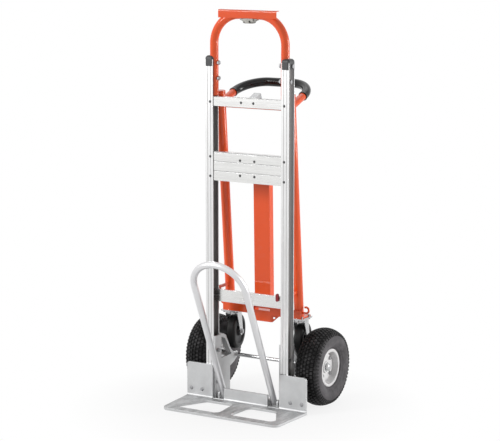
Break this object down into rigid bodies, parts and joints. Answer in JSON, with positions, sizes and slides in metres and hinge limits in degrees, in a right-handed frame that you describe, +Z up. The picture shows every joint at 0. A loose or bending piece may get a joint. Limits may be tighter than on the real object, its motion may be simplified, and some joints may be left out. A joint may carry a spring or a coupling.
{
  "type": "folding hand truck",
  "caption": "Convertible hand truck with cast nose plate, folding nose loop, pneumatic wheels and a swing-over cart frame with swivel casters and an arched push handle.",
  "frame": {"origin": "on the underside of the nose plate, on the mirror plane, below the rails' front faces", "axes": "+Z up along the rails, +X across to the right as seen from the front, +Y to the back"},
  "size_m": [0.5102, 0.4863, 1.3085],
  "materials": {
    "rail_aluminium": "satin extruded",
    "crossbar_aluminium": "satin extruded",
    "cast_aluminium": "rough cast",
    "loop_aluminium": "satin drawn tube",
    "orange_paint": "gloss powder coat",
    "zinc_steel": "zinc plated",
    "fastener_steel": "zinc plated",
    "rim_paint": "light grey enamel",
    "black_plastic": "fine grain",
    "grip_rubber": "soft matte",
    "caster_rubber": "matte",
    "tyre": "matte",
    "tube_rubber": "matte",
    "bumper_rubber": "dark red, matte"
  },
  "bodies": {
    "frame": {"left_rail": "rail_aluminium", "right_rail": "rail_aluminium", "left_rail_cap": "black_plastic", "right_rail_cap": "black_plastic", "top_crossbar": "crossbar_aluminium", "middle_crossbar": "crossbar_aluminium", "lower_crossbar": "crossbar_aluminium", "loop_bumper": "bumper_rubber", "crossbar_screws": "fastener_steel", "nose_plate": "cast_aluminium", "nose_plate_bolts": "fastener_steel", "nose_loop_pins": "fastener_steel", "loop_handle": "orange_paint", "handle_top_bar": "orange_paint", "handle_bolts": "fastener_steel", "catch_housing": "zinc_steel", "latch_bracket": "zinc_steel", "latch_fasteners": "fastener_steel", "left_axle_bracket": "cast_aluminium", "right_axle_bracket": "cast_aluminium", "axle_bracket_bolts": "fastener_steel", "axle": "zinc_steel", "axle_retainers": "zinc_steel", "link_hinge_bracket": "zinc_steel", "hinge_bracket_bolts": "fastener_steel", "link_hinge_pin": "fastener_steel"},
    "left_wheel": {"left_tyre": "tyre", "left_inner_tube": "tube_rubber", "left_rim": "rim_paint", "left_rim_bolts": "fastener_steel", "left_hub_bearings": "zinc_steel", "left_valve_stem": "tube_rubber"},
    "right_wheel": {"right_tyre": "tyre", "right_inner_tube": "tube_rubber", "right_rim": "rim_paint", "right_rim_bolts": "fastener_steel", "right_hub_bearings": "zinc_steel", "right_valve_stem": "tube_rubber"},
    "nose_loop": {"nose_loop": "loop_aluminium"},
    "link": {"link_arm": "orange_paint"},
    "cart_frame": {"left_cart_tube": "orange_paint", "right_cart_tube": "orange_paint", "cart_handle": "orange_paint", "cart_grip": "grip_rubber", "latch_strap": "orange_paint", "frame_hooks": "orange_paint", "caster_base": "orange_paint", "link_clevis": "orange_paint", "link_lower_pin": "fastener_steel", "caster_plate_bolts": "fastener_steel", "left_caster_plate": "zinc_steel", "right_caster_plate": "zinc_steel"},
    "left_caster": {"left_caster_yoke": "zinc_steel", "left_caster_axle_bolt": "fastener_steel"},
    "right_caster": {"right_caster_yoke": "zinc_steel", "right_caster_axle_bolt": "fastener_steel"},
    "left_caster_roller": {"left_caster_wheel": "caster_rubber"},
    "right_caster_roller": {"right_caster_wheel": "caster_rubber"},
    "latch": {"latch_lever": "zinc_steel"},
    "catch": {"catch_tongue": "zinc_steel"}
  },
  "joints": [
    {"name": "left_wheel_spin", "type": "hinge", "parent": "frame", "child": "left_wheel", "pos_m": [0, 0.137, 0.13], "axis": [1, 0, 0], "continuous": true},
    {"name": "right_wheel_spin", "type": "hinge", "parent": "frame", "child": "right_wheel", "pos_m": [0, 0.137, 0.13], "axis": [1, 0, 0], "continuous": true},
    {"name": "nose_loop_fold", "type": "hinge", "parent": "frame", "child": "nose_loop", "pos_m": [0, 0.015, 0.022], "axis": [1, 0, 0], "range_deg": [-22.7, 65]},
    {"name": "link_swing", "type": "hinge", "parent": "frame", "child": "link", "pos_m": [0, 0.106, 0.815], "axis": [1, 0, 0], "range_deg": [0, 179]},
    {"name": "cart_frame_tilt", "type": "hinge", "parent": "link", "child": "cart_frame", "pos_m": [0, 0.118, 0.32], "axis": [1, 0, 0], "range_deg": [-89.5, 0]},
    {"name": "left_caster_swivel", "type": "hinge", "parent": "cart_frame", "child": "left_caster", "pos_m": [-0.13, 0.13, 0.28], "axis": [0, 0, 1], "range_deg": [-110, 3]},
    {"name": "right_caster_swivel", "type": "hinge", "parent": "cart_frame", "child": "right_caster", "pos_m": [0.13, 0.13, 0.28], "axis": [0, 0, 1], "range_deg": [-25, 88]},
    {"name": "left_caster_roll", "type": "hinge", "parent": "left_caster", "child": "left_caster_roller", "pos_m": [-0.13534, 0.15749, 0.2065], "axis": [0.9816, 0.1908, 0], "continuous": true},
    {"name": "right_caster_roll", "type": "hinge", "parent": "right_caster", "child": "right_caster_roller", "pos_m": [0.12466, 0.15749, 0.2065], "axis": [0.9816, 0.1908, 0], "continuous": true},
    {"name": "latch_drop", "type": "hinge", "parent": "frame", "child": "latch", "pos_m": [0, 0.045, 1.008], "axis": [1, 0, 0], "range_deg": [-22, 0]},
    {"name": "catch_slide", "type": "slide", "parent": "frame", "child": "catch", "axis": [0, 1, 0], "range_m": [-0.006, 0], "stiffness_N_per_m": 400, "springref_m": 0.002}
  ],
  "couplings": [
    {"joint": "cart_frame_tilt", "follows": "link_swing", "ratio": -0.5}
  ]
}
